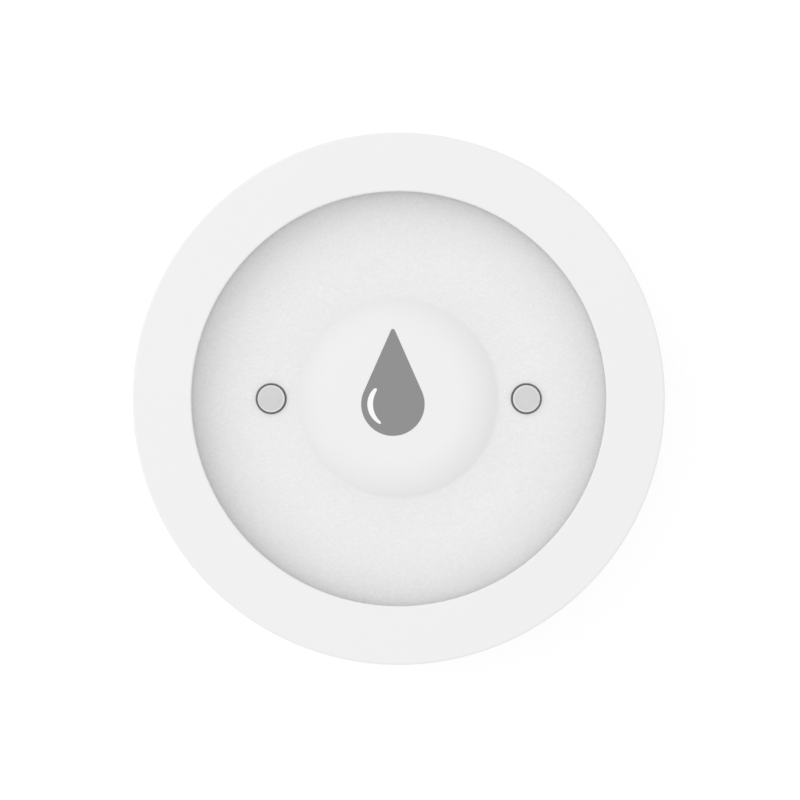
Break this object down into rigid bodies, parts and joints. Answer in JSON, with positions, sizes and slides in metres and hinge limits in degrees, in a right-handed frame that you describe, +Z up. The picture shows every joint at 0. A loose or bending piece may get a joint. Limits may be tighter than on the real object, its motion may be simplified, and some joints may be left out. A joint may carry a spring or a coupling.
{
  "type": "water leak sensor",
  "caption": "Round white puck that senses leaks: shallow drip dish with steel contacts and a soft domed test button, floor probes and a coin-turn battery door below, sealed electronics inside.",
  "frame": {"origin": "on the floor under the middle of the case", "axes": "+Z up out of the drip face, +Y the way the drop sign on the button points, +X to the right in the picture"},
  "size_m": [0.065, 0.065, 0.0216],
  "materials": {
    "shell_white": "smooth satin white moulded plastic",
    "dish_white": "fine spark-grained white moulded plastic",
    "dome_silicone": "soft matt white silicone",
    "guide_clear": "clear moulded plastic",
    "plunger_grey": "plain grey moulded plastic",
    "chip_black": "matt black moulded plastic",
    "contact_steel": "turned stainless steel",
    "seal_rubber": "matt dark rubber",
    "foot_rubber": "matt grey silicone rubber",
    "nut_brass": "bright brass",
    "spring_wire": "drawn spring wire",
    "board_green": "green lacquered board",
    "shield_tin": "tinned sheet",
    "led_ivory": "ivory package with a clear lens",
    "screw_steel": "plated steel",
    "cell_steel": "bright pressed steel"
  },
  "bodies": {
    "housing": {"top_shell": "shell_white", "drip_dish": "dish_white", "button_guide": "guide_clear", "switch_base": "chip_black", "drip_contact_left": "contact_steel", "drip_contact_right": "contact_steel", "contact_seals": "seal_rubber", "contact_nuts": "nut_brass", "contact_springs": "spring_wire", "circuit_board": "board_green", "radio_module": "board_green", "radio_shield": "shield_tin", "board_chips": "chip_black", "status_led": "led_ivory", "board_screws": "screw_steel", "cell_holder": "chip_black", "coin_cell": "cell_steel", "cell_spring": "nut_brass", "cell_clip": "nut_brass", "base_plate": "shell_white", "case_seal": "seal_rubber", "case_screws": "screw_steel", "foot_pads": "foot_rubber", "floor_probe_left": "contact_steel", "floor_probe_right": "contact_steel", "probe_seals": "seal_rubber", "probe_nuts": "nut_brass", "probe_springs": "spring_wire"},
    "test_button": {"button_dome": "dome_silicone", "button_plunger": "plunger_grey"},
    "switch_slider": {"switch_cap": "chip_black"},
    "cell_door": {"battery_door": "shell_white", "door_seal": "seal_rubber"}
  },
  "joints": [
    {"name": "button_press", "type": "slide", "parent": "housing", "child": "test_button", "axis": [0, 0, -1], "range_m": [0, 0.0003], "stiffness_N_per_m": 3000, "deforming": ["button_dome"]},
    {"name": "switch_press", "type": "slide", "parent": "housing", "child": "switch_slider", "axis": [0, 0, -1], "range_m": [0, 0.0003]},
    {"name": "door_turn", "type": "hinge", "parent": "housing", "child": "cell_door", "pos_m": [0, 0, 0.0026], "axis": [0, 0, -1], "range_deg": [0, 30]}
  ],
  "couplings": [
    {"joint": "switch_press", "follows": "button_press", "ratio": 1}
  ]
}
